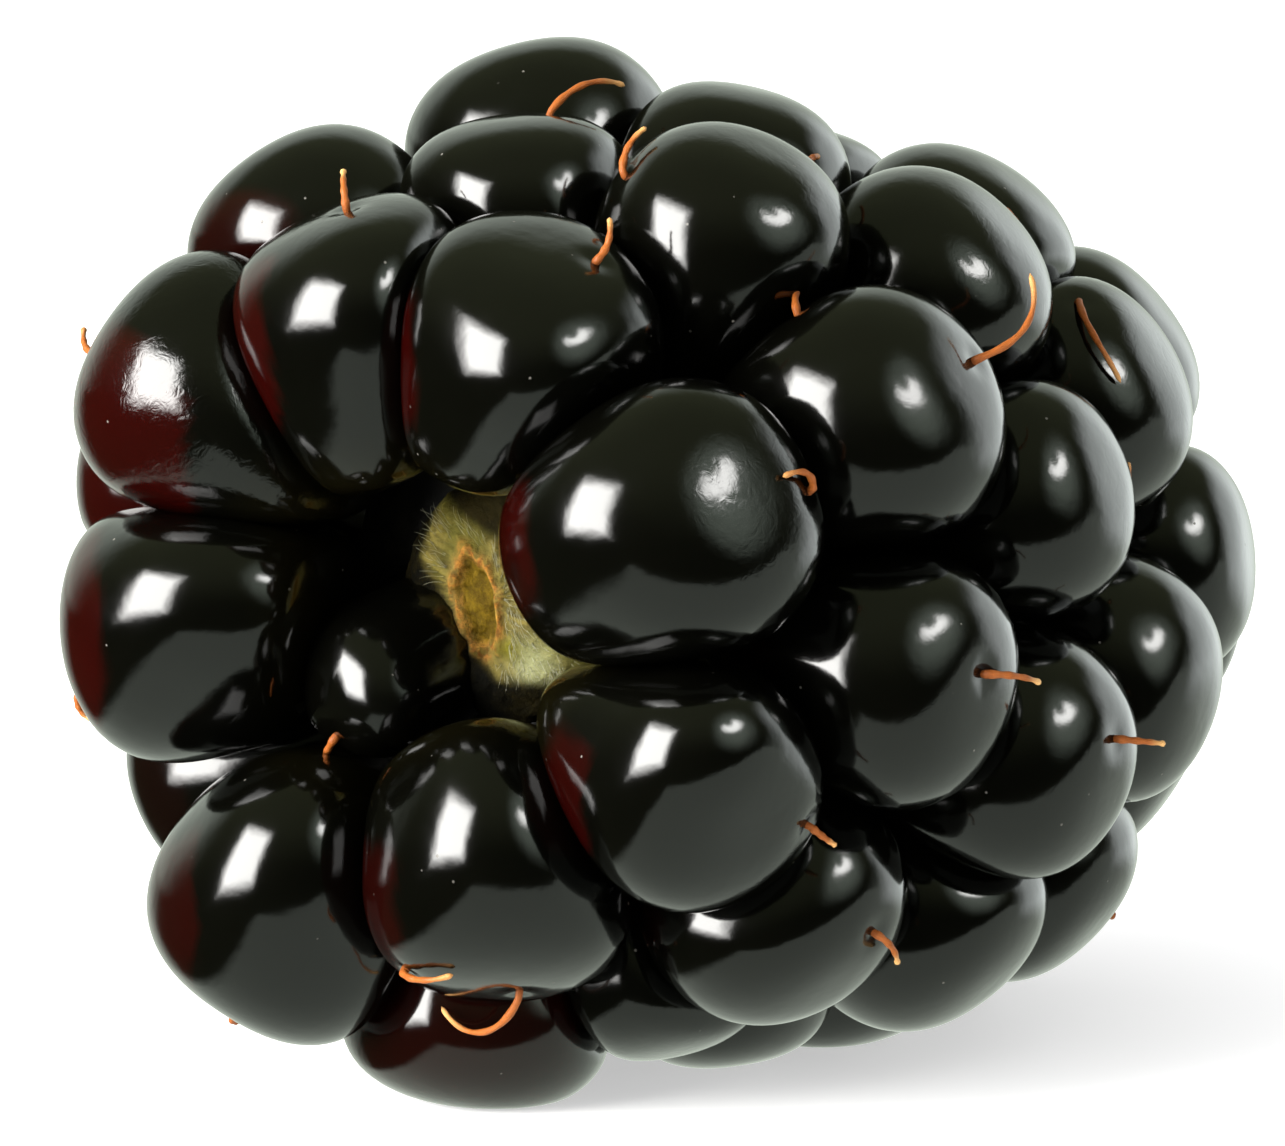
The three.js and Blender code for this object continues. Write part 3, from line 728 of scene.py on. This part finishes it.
def pith_finish(settings):
    """Matte fibrous pith: cream with green and olive clouds, and an orange-brown scar round an olive middle.
    A pale place, partly the fine hairs' whiteness and partly painted sheen, its green place, and painted
    shade, dark towards the back and on the edges under the drupelets, come on top."""
    finish = new_finish("pith")
    clouds = finish.noise(1.2, detail=4, roughness=0.6)
    fine = finish.noise(0.22, detail=4, roughness=0.65)
    crumbs = finish.noise(0.13, detail=2).rising(0.38, 0.62)
    # Painted shade: darker towards the back and on the edges in the drupelets' shade.
    painted_shade = finish.attribute("painted_shade")
    fibres = fine * 0.45 + finish.attribute("streak") * 0.55
    cream = finish.mixed(fibres.rising(0.3, 0.7), scaled(settings.cream, 0.6), scaled(settings.cream, 1.3))
    inside = finish.mixed(fine.rising(0.4, 0.65), *SCAR_MIDDLE_TONES)
    rust = finish.mixed(fine.rising(0.35, 0.6), *SCAR_TONES)
    # The painted shade's dark colour.
    shade_tone = finish.mixed(clouds.rising(0.4, 0.65), *PAINTED_SHADE_TONES)
    colour = finish.mixed(clouds.rising(0.42, 0.62) * 0.6, cream, settings.green)
    for mask, tone in [
        (finish.attribute("middle"), inside), (finish.attribute("scar") * (crumbs * 0.8 + 0.35), rust),
        (finish.attribute("fuzz_and_sheen"), FUZZ_AND_SHEEN), (finish.attribute("fresh"), FRESH), (painted_shade, shade_tone),
    ]:
        colour = finish.mixed(mask, colour, tone)
    return finish.surface({
        "Base Color": colour, "Roughness": 0.55 + fine * 0.3 + painted_shade * 0.15, "Normal": finish.bump(fine, 0.08),
        "IOR": 1.3, "Specular IOR Level": 0.1,
        "Subsurface Weight": 0.25, "Subsurface Radius": (0.0009, 0.0007, 0.0003), "Subsurface Scale": 1,
    })


def hair_finish():
    """Fine white hairs with a silky shine."""
    finish = new_finish("white_hair")
    colour = finish.mixed(finish.attribute("tone"), *HAIR_TONES)
    return finish.surface({"Base Color": colour, "Roughness": 0.3, "IOR": 1.5})


# ======== Pieces ========


def make_piece(name, surfaces, columns, material, attributes):
    """A smooth mesh piece, riding on the berry's body. Its closed surfaces are alike: a first pole, rows of so
    many columns and a last pole, in millimetres. The attributes are numbers on the points."""
    count, size, _ = surfaces.shape
    quads, triangles = closed_grid_faces(count, (size - 2) // columns, columns)
    mesh = bpy.data.meshes.new(name)
    faces = quads.tolist() + triangles.tolist()
    mesh.from_pydata((surfaces * MM).reshape(-1, 3), [], faces, shade_flat=False)
    for label, values in attributes.items():
        layer = mesh.attributes.new(label, "FLOAT", "POINT")
        layer.data.foreach_set("value", np.asarray(values, np.float32).ravel())
    mesh.validate()
    mesh.materials.append(material)
    piece = bpy.data.objects.new(name, mesh)
    bpy.context.scene.collection.objects.link(piece)
    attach(piece, "root")
    return piece


def make_drupelets(settings):
    """One piece for each ring of drupelets."""
    material = skin_finish(settings)
    draw = np.random.default_rng(SHAPE_SEED)
    crinkles = np.random.default_rng(CRINKLE_SEED)
    for ring, *_ in RINGS:
        surfaces, lit_blushes, roots, wrinkles = [], [], [], []
        for drupelet in DRUPELETS:
            if drupelet.ring != ring:
                continue
            points, towards = drupelet_surface(drupelet, draw)
            outwards = towards @ drupelet.axis
            crinkled = MOST_CRINKLED * crinkles.uniform() ** 2 * smoothstep(*OUTER_END, outwards)
            surfaces.append(points)
            # Lit blush: wine-red on the side that faces the softbox, partly painted light.
            lit_blushes.append(lit_blush_of(drupelet, towards, draw))
            roots.append(smoothstep(*INNER_END, -outwards) * ROOT_TINTS.get(ring, OTHER_ROOT_TINT))
            wrinkles.append(WITHERED.get(drupelet.name, 0) + crinkled)
        piece = make_piece(f"drupelets_{ring}", np.stack(surfaces), DRUPELET_AROUND, material,
                           {"lit_blush": lit_blushes, "root": roots, "wrinkle": wrinkles})
        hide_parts("drupelets")


def make_bed():
    """The flesh between the drupelets: the solid's outline, a little deeper and rounded, with soft lumps."""
    outline = [(station, radius - BED_SINK) for station, radius in BED_OUTLINE]
    corners = [(outline[0][0], 0), *outline, (outline[-1][0], 0)]
    points = turned_surface(resampled(corners, BED_DOWN + 2, BED_ROUNDING), BED_AROUND)
    swell = 1 + BED_LUMP_DEPTH * lumps(points, SHAPE_SEED, BED_LUMPS)
    points[:, [0, 2]] *= swell[:, None]
    piece = make_piece("flesh_bed", set_to_rest(points)[None], BED_AROUND, flesh_finish(), {})
    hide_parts("drupelets")


def make_styles(settings):
    """The withered styles: threads that taper by a straight line plus a bell for the small knob near the end,
    close round at the end, and have slight knots along them as a sine."""
    places, ways = style_paths()
    share = np.linspace(0, 1, places.shape[1])
    tone = np.random.default_rng(STYLE_SEED).uniform(0, 1, len(places))
    knots = 1 + KNOT_DEPTH * np.sin(share * KNOT_RATE + 6 * tone[:, None])
    knob = STYLE_KNOB * bell(share - KNOB_SHARE, KNOB_LENGTH)
    taper = (STYLE_FOOT - STYLE_TAPER * share + knob) * np.sqrt(np.clip((1 - share) / STYLE_TIP, 0, 1))
    points = tubes(places, ways, settings.radius / MM * (taper * knots), STYLE_AROUND)
    along = np.concatenate([[0], np.repeat(share[1:-1], STYLE_AROUND), [1]])
    piece = make_piece("styles", points, STYLE_AROUND, style_finish(settings), {
        "along": np.tile(along, len(places)), "tone": np.repeat(tone, points.shape[1])})
    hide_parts("drupelets")


def scar_ring(points):
    """How near points of the receptacle's own frame are to the scar's wandering ring: their distance from
    its middle as a share of the leaning ellipse's radius there."""
    right, up = (points[:, [0, 2]] - SCAR_MIDDLE).T
    lean = math.radians(SCAR_LEAN)
    across = (right * math.cos(lean) + up * math.sin(lean)) / SCAR_WIDTH
    along = (up * math.cos(lean) - right * math.sin(lean)) / SCAR_HEIGHT
    turn = np.arctan2(along, across)
    wander = sum(depth * np.sin(rate * turn + phase) for depth, rate, phase in SCAR_WANDER)
    return np.hypot(across, along) / (1 + wander)


def behind_base(points):
    """How far behind the receptacle's base points of its own frame lie."""
    return points[:, 1] - RECEPTACLE_BASE


def on_base(points):
    """1 on the receptacle's base, falling softly to 0 on its sides."""
    return smoothstep(*BASE_EDGE, behind_base(points))


def receptacle_points():
    """The receptacle round its own middle line: a rounded base and a quarter-ellipse side, turned, with
    fibrous lumps, and on the base a low ragged ring, bell-shaped across, round a dip."""
    turn = np.linspace(0, np.pi / 2, SIDE_CORNERS)[1:]
    sides = np.stack([
        RECEPTACLE_BASE + RECEPTACLE_LENGTH * np.sin(turn), RECEPTACLE_RADIUS * np.cos(turn)], axis=1)
    base = [(RECEPTACLE_BASE + back, RECEPTACLE_RADIUS * share) for back, share in BASE_OUTLINE]
    points = turned_surface(resampled([*base, *sides], PITH_DOWN + 2, PITH_ROUNDING), PITH_AROUND)
    coarse, fine = lumps(points, PITH_SEED, PITH_LUMPS), lumps(points, PITH_SEED + 1, PITH_FINE_LUMPS)
    shift = PITH_LUMP_DEPTH * (coarse + 0.6 * fine)
    away = unit(points * [1, 0, 1] + [1e-9, 0, 0])
    base_share = on_base(points)
    points = points + away * (shift * (1 - base_share))[:, None]
    ring = scar_ring(points)
    ridge = SCAR_RISE * bell(ring - 1, SCAR_RIDGE) * (1 + 0.5 * lumps(points, PITH_SEED + 2, 0.4))
    points[:, 1] += base_share * (0.6 * shift - ridge + SCAR_DIP * smoothstep(0.95, 0.6, ring))
    return points


def receptacle_at_rest(points):
    """Points of the receptacle's own frame, moved aside to its place in the berry at rest."""
    return set_to_rest(points + [RECEPTACLE_ASIDE, 0, 0])


def spot(points, middle, size):
    """A bell of that size round a place on the base, given as shifts to the right and up."""
    return on_base(points) * bell(np.linalg.norm(points[:, [0, 2]] - middle, axis=1), size)


def streaks(points):
    """Fibres that run out from the scar: a sum of sines of the turn round its middle, which soft lumps bend,
    brought between 0 and 1 and fading to a half inside the scar."""
    draw = np.random.default_rng(PITH_SEED)
    rates = draw.integers(*STREAK_RATES, STREAK_WAVES)
    phases = draw.uniform(0, 2 * np.pi, STREAK_WAVES)
    right, up = (points[:, [0, 2]] - SCAR_MIDDLE).T
    turn = np.arctan2(up, right) + STREAK_BEND * lumps(points, PITH_SEED + 3, 0.6)
    total = np.sin(turn[:, None] * rates + phases).sum(axis=1) * smoothstep(0.8, 1.6, scar_ring(points))
    return smoothstep(-4, 4, total)


def in_painted_shade(points):
    """1 on the base's edges that lie in the drupelets' shade, where shade is painted, and 0 between them, with
    a soft step over each edge.
    """
    right, up, begins = np.array(SHADED_EDGES).T
    over = points[:, 0, None] * right + points[:, 2, None] * up - begins
    return smoothstep(-SHADED_EDGE_SOFTNESS, SHADED_EDGE_SOFTNESS, over).max(axis=1)


def make_receptacle(settings):
    """The pale receptacle that the drupelets grow round, with the scar where the stem broke away."""
    own = receptacle_points()
    ring = scar_ring(own)
    piece = make_piece("receptacle_pith", receptacle_at_rest(own)[None], PITH_AROUND, pith_finish(settings), {
        "scar": on_base(own) * bell(ring - 1, SCAR_COLOUR_WIDTH),
        "middle": on_base(own) * smoothstep(1, 0.75, ring),
        "streak": streaks(own),
        # Pale patch: partly the fine hairs' whiteness, partly painted sheen.
        "fuzz_and_sheen": spot(own, *FUZZ_AND_SHEEN_SPOT),
        "fresh": spot(own, *FRESH_SPOT),
        # Painted shade: darker deeper behind the base, and on the base's edges in the drupelets' shade.
        "painted_shade": np.maximum(smoothstep(*PITH_SHADE_DEPTHS, behind_base(own)), in_painted_shade(own))})
    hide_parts("receptacle")


def make_hairs(settings):
    """Fine hairs on the receptacle's base, outside the scar: thin tapered threads that lie outwards, lift a
    little and bend with a seeded turn."""
    draw = np.random.default_rng(HAIR_SEED)
    count = settings.hairs
    own = receptacle_points()
    outside = (scar_ring(own) > HAIR_RING) & (behind_base(own) < HAIR_REACH)
    # No hairs where the pith's edges are painted in shade.
    free = np.flatnonzero(outside & (in_painted_shade(own) < 0.1))
    root = own[draw.choice(free, count)]
    outwards = unit(root * [1, 0, 1])
    shoulder = smoothstep(0.2, 0.9, behind_base(root))[:, None]
    up = unit(outwards * shoulder + [0, -1, 0] * (1 - shoulder * 0.7))
    astray = draw.normal(size=(count, 3)) * HAIRS_ASTRAY
    combed = squared_to(outwards * (1 - shoulder) + [0, -0.6, 0] * shoulder + astray, up)
    length = HAIR_LENGTH * draw.uniform(*HAIR_LENGTHS, count)[:, None]
    curl = draw.normal(size=count)[:, None] * HAIR_CURL
    lift = draw.uniform(*HAIR_LIFT, count)[:, None]
    share = np.linspace(0, 1, HAIR_STEPS)[:, None, None]
    slopes, turns = lift * (1 - 0.8 * share), curl * share
    places, ways = grown_threads(root, up, combed, length, slopes, turns, [HAIR_DEPTH])
    thinning = 1 - HAIR_THINNING * np.linspace(0, 1, places.shape[1])
    points = tubes(places, ways, np.tile(HAIR_RADIUS * thinning, (count, 1)), HAIR_AROUND)
    tone = np.repeat(draw.uniform(0, 1, count), points.shape[1])
    piece = make_piece("pith_hairs", receptacle_at_rest(points), HAIR_AROUND, hair_finish(), {"tone": tone})
    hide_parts("receptacle")


# ======== Studio ========


def view_directions():
    """The camera's right, up and back directions, from its azimuth and elevation."""
    azimuth, elevation = math.radians(CAMERA_AZIMUTH), math.radians(CAMERA_ELEVATION)
    level = math.cos(elevation)
    back = Vector((math.sin(azimuth) * level, -math.cos(azimuth) * level, math.sin(elevation)))
    right = Vector((0, 0, 1)).cross(back).normalized()
    return right, back.cross(right), back


def seen_towards(parts):
    """The direction with these parts to the camera's right, up and back."""
    return sum((way * part for way, part in zip(view_directions(), parts)), Vector()).normalized()


def aimed(name, data, direction, distance):
    """A camera or light at that distance from the view's target, looking at it along its own -Z."""
    thing = bpy.data.objects.new(name, data)
    target = Vector(CAMERA_TARGET) * MM
    thing.location = target + direction * distance
    thing.rotation_mode = "QUATERNION"
    thing.rotation_quaternion = (target - thing.location).to_track_quat("-Z", "Y")
    bpy.context.scene.collection.objects.link(thing)
    return thing


def make_camera():
    data = bpy.data.cameras.new("view")
    data.sensor_width = SENSOR
    data.lens = FOCAL_PIXELS / IMAGE_WIDTH * SENSOR
    data.clip_start, data.clip_end = 0.01, 20
    bpy.context.scene.camera = aimed("view", data, seen_towards((0, 0, 1)), CAMERA_DISTANCE * MM)


def make_lights(settings):
    """The softbox, as light panels one before another, each smaller than the last, so that its edge fades."""
    for step in range(KEY_STEPS):
        data = bpy.data.lights.new(f"key_softbox_{step}", "AREA")
        share = KEY_LARGEST - KEY_SHRINK * step
        data.shape = "RECTANGLE"
        data.size, data.size_y = KEY_WIDTH * share, KEY_HEIGHT * share
        data.energy = settings.key_power / KEY_STEPS
        data.color = KEY_COLOUR
        panel = aimed(data.name, data, seen_towards(KEY_SIDE), KEY_DISTANCE - KEY_SPACING * step)
        panel.visible_camera = False


def make_world(settings):
    """A white room, but glossy skins see a white table, cut off towards the viewer and on the left, a pale
    backdrop, a window on its right, the fill's glow with a bare lamp, and a room that is dark but for
    overhead."""
    world = bpy.data.worlds.new("studio")
    bpy.context.scene.world = world
    finish = Finish(world)
    back = view_directions()[-1]
    lamp = seen_towards(LAMP_SIDE)
    aside = Vector((0, 0, 1)).cross(lamp).normalized()
    front = Vector((back.x, back.y, 0)).normalized()
    left = Vector((front.y, -front.x, 0))

    def part(axis):
        inputs = {0: finish.coordinates["Generated"], 1: axis}
        return finish.amount("ShaderNodeVectorMath", {"operation": "DOT_PRODUCT"}, inputs, "Value")

    def disc(right_of, above, half_width, half_height):
        across = (part(aside) - right_of) / half_width
        upward = (part(lamp.cross(aside)) - above) / half_height
        return 1 - (across * across + upward * upward).rising(0.1, 1.3)

    height, ahead, leftward = part((0, 0, 1)), part(front), part(left)
    down = (0 - height).larger(0.001)
    below = (0 - height).rising(-0.02, 0.05)
    cut_left = (leftward / down).rising(*TABLE_LEFT_EDGE) * ahead.rising(*TABLE_KEPT_BEHIND)
    table = below * (1 - (ahead / down).rising(*TABLE_NEAR_EDGE)) * (1 - cut_left)
    behind = (0 - ahead - height * BACKDROP_LEAN).rising(*BACKDROP_TOP) * (1 - below)
    behind = behind * (1 - leftward.rising(*BACKDROP_LEFT_EDGE))
    window = (0 - ahead).rising(*WINDOW_NEAR_EDGE) * (0 - leftward).rising(*WINDOW_LEFT_EDGE)
    window = window * height.rising(*WINDOW_SILL) * (1 - height.rising(*WINDOW_TOP))
    glow = part(seen_towards(FILL_SIDE)).rising(FILL_EDGE, 1) ** 2
    bare = disc(*LAMP_DISC) * (1 - disc(*LAMP_NOTCH)) * part(lamp).rising(0.5, 0.6)

    seen = finish.mixed(height.rising(*ROOM_OVERHEAD), scaled(settings.room, settings.dimness), settings.room)
    for mask, colour, strength in [
        (glow, settings.fill, settings.fill_glow), (bare, LAMP_COLOUR, settings.lamp_glow),
        (table, settings.table, 1), (behind, settings.table, settings.backdrop),
        (window, settings.window, settings.window_glow),
    ]:
        seen = finish.mixed(mask, seen, scaled(colour, strength))
    rays = finish.node("ShaderNodeLightPath").outputs
    plain = finish.mixed(Amount(finish, rays["Is Camera Ray"]), [settings.ambient] * 3, WHITE)
    colour = finish.mixed(Amount(finish, rays["Is Glossy Ray"]), plain, seen)
    shade = finish.node("ShaderNodeBackground", None, {"Color": colour, "Strength": 1})
    finish.node("ShaderNodeOutputWorld", None, {"Surface": shade.outputs[0]})


def make_floor(settings):
    """A plain pale floor that runs out of view on every side."""
    half = settings.floor_size / 2
    mesh = bpy.data.meshes.new("floor")
    corners = [(-half, -half, 0), (half, -half, 0), (half, half, 0), (-half, half, 0)]
    mesh.from_pydata(corners, [], [(0, 1, 2, 3)])
    finish = new_finish("pale_floor")
    mesh.materials.append(finish.surface({
        "Base Color": finish.mixed(finish.noise(4, detail=3), *FLOOR_TONES),
        "Roughness": 0.9, "Specular IOR Level": 0, "Emission Color": WHITE, "Emission Strength": 0.5,
    }))
    floor = bpy.data.objects.new("floor", mesh)
    bpy.context.scene.collection.objects.link(floor)
    floor.visible_glossy = False


# ======== The add-on ========


def setting(name, description, default, kind=bpy.props.FloatProperty, **limits):
    return kind(name=name, description=description, default=default, **{"min": 0, **limits})


def size_setting(name, description, default, low, high):
    return setting(name, description, default, min=low, max=high, unit="LENGTH", precision=6)


def colour_setting(name, description, default):
    return setting(name, description, default, bpy.props.FloatVectorProperty, max=1, subtype="COLOR")


def share_setting(name, description, default):
    return setting(name, description, default, max=1, subtype="FACTOR")


class BerrySkinSettings(bpy.types.PropertyGroup):
    black: colour_setting("Ripe skin", "Colour of ripe skin", (0.0010, 0.0010, 0.0006))
    # The wine-red patches sit on the side that faces the softbox: partly painted light.
    wine: colour_setting("Blush", "Colour of the wine-red patches", (0.0120, 0.0005, 0.0003))
    root_colour: colour_setting(
        "Inner ends", "Colour of the skin next to the receptacle", (0.0030, 0.0025, 0.0006))
    roughness: share_setting("Roughness", "How soft the skin's reflections are", 0.11)
    speck_share: share_setting("Specks", "Share of the skin's small cells that hold a speck", 0.12)


class BerryStyleSettings(bpy.types.PropertyGroup):
    radius: size_setting("Radius", "Half the thickness of a style", STYLE_RADIUS * MM, 0.00002, 0.0003)
    brown: colour_setting("Thread", "Colour of a style along most of its length", (0.37, 0.10, 0.015))
    pale: colour_setting("End", "Colour of a style's end", (0.70, 0.42, 0.15))


class BerryPithSettings(bpy.types.PropertyGroup):
    cream: colour_setting("Pith", "Main colour of the receptacle", (0.084, 0.067, 0.016))
    green: colour_setting("Green", "Greener clouds in the pith", (0.050, 0.048, 0.005))
    hairs: setting("Hairs", "Number of hairs on the receptacle", HAIRS, bpy.props.IntProperty, max=4000)


class BerryStudioSettings(bpy.types.PropertyGroup):
    key_power: setting("Key", "Power of the softbox", 3.9, unit="POWER")
    fill: colour_setting("Fill", "Colour of the glow that glossy skins see on the right", (0.86, 1, 0.84))
    fill_glow: setting("Fill strength", "Brightness of the middle of that glow", 1.95)
    lamp_glow: setting("Fill lamp", "Brightness of the bare lamp in the middle of that glow", 23)
    ambient: share_setting("Ambient", "Light of the room on matte surfaces", 0.8)
    room: colour_setting("Room", "What glossy skins see of the room overhead", (0.25, 0.28, 0.16))
    dimness: share_setting("Dimness", "How much of the room's light is left level with the berry", 0.12)
    table: colour_setting("Table", "What glossy skins see of the table and backdrop", (0.875, 0.97, 0.84))
    backdrop: setting("Backdrop", "Brightness of the backdrop as a share of the table's", 1.05)
    window: colour_setting("Window", "Colour of the window at the back on the right", (0.93, 1, 0.97))
    window_glow: setting("Window strength", "Brightness of that window in glossy skins", 2.8)
    floor_size: size_setting("Floor", "Length of the floor's sides", 4, 0.1, 20)


class BERRY_OT_studio(bpy.types.Operator):
    """Make the camera, lights, world and floor"""

    bl_idname = "berry.studio"
    bl_label = "Studio"

    def execute(self, context):
        settings = context.scene.berry_studio
        make_camera()
        make_lights(settings)
        make_world(settings)
        make_floor(settings)
        context.scene.view_settings.view_transform = "Standard"
        return {"FINISHED"}


class BERRY_OT_drupelets(bpy.types.Operator):
    """Make the seven rings of drupelets"""

    bl_idname = "berry.drupelets"
    bl_label = "Drupelets"

    def execute(self, context):
        make_drupelets(context.scene.berry_skin)
        return {"FINISHED"}


class BERRY_OT_bed(bpy.types.Operator):
    """Make the flesh between the drupelets"""

    bl_idname = "berry.bed"
    bl_label = "Flesh"

    def execute(self, context):
        make_bed()
        return {"FINISHED"}


class BERRY_OT_styles(bpy.types.Operator):
    """Make the withered styles"""

    bl_idname = "berry.styles"
    bl_label = "Styles"

    def execute(self, context):
        make_styles(context.scene.berry_styles)
        return {"FINISHED"}


class BERRY_OT_receptacle(bpy.types.Operator):
    """Make the receptacle with its scar"""

    bl_idname = "berry.receptacle"
    bl_label = "Receptacle"

    def execute(self, context):
        make_receptacle(context.scene.berry_pith)
        return {"FINISHED"}


class BERRY_OT_hairs(bpy.types.Operator):
    """Make the receptacle's fine hairs"""

    bl_idname = "berry.hairs"
    bl_label = "Hairs"

    def execute(self, context):
        make_hairs(context.scene.berry_pith)
        return {"FINISHED"}


GROUPS = {
    "berry_studio": (BerryStudioSettings, BERRY_OT_studio),
    "berry_skin": (BerrySkinSettings, BERRY_OT_drupelets, BERRY_OT_bed),
    "berry_styles": (BerryStyleSettings, BERRY_OT_styles),
    "berry_pith": (BerryPithSettings, BERRY_OT_receptacle, BERRY_OT_hairs),
}


class VIEW3D_PT_berry(bpy.types.Panel):
    """Lists the berry's pieces with their settings"""

    bl_label = "Bramble Berry"
    bl_space_type = "VIEW_3D"
    bl_region_type = "UI"
    bl_category = "Berry"

    def draw(self, context):
        for group, (_, *operators) in GROUPS.items():
            box = self.layout.box()
            settings = getattr(context.scene, group)
            for name in settings.__annotations__:
                box.prop(settings, name)
            for operator in operators:
                box.operator(operator.bl_idname)


CLASSES = [each for group in GROUPS.values() for each in group] + [VIEW3D_PT_berry]


def register():
    for each in CLASSES:
        bpy.utils.register_class(each)
    for name, (settings, *_) in GROUPS.items():
        setattr(bpy.types.Scene, name, bpy.props.PointerProperty(type=settings))


def unregister():
    for name in GROUPS:
        delattr(bpy.types.Scene, name)
    for each in reversed(CLASSES):
        bpy.utils.unregister_class(each)


def main():
    register()
    bpy.ops.berry.studio()
    bpy.ops.berry.drupelets()
    bpy.ops.berry.bed()
    bpy.ops.berry.styles()
    bpy.ops.berry.receptacle()
    bpy.ops.berry.hairs()
    bpy.context.view_layer.update()


if __name__ == "__main__":
    main()
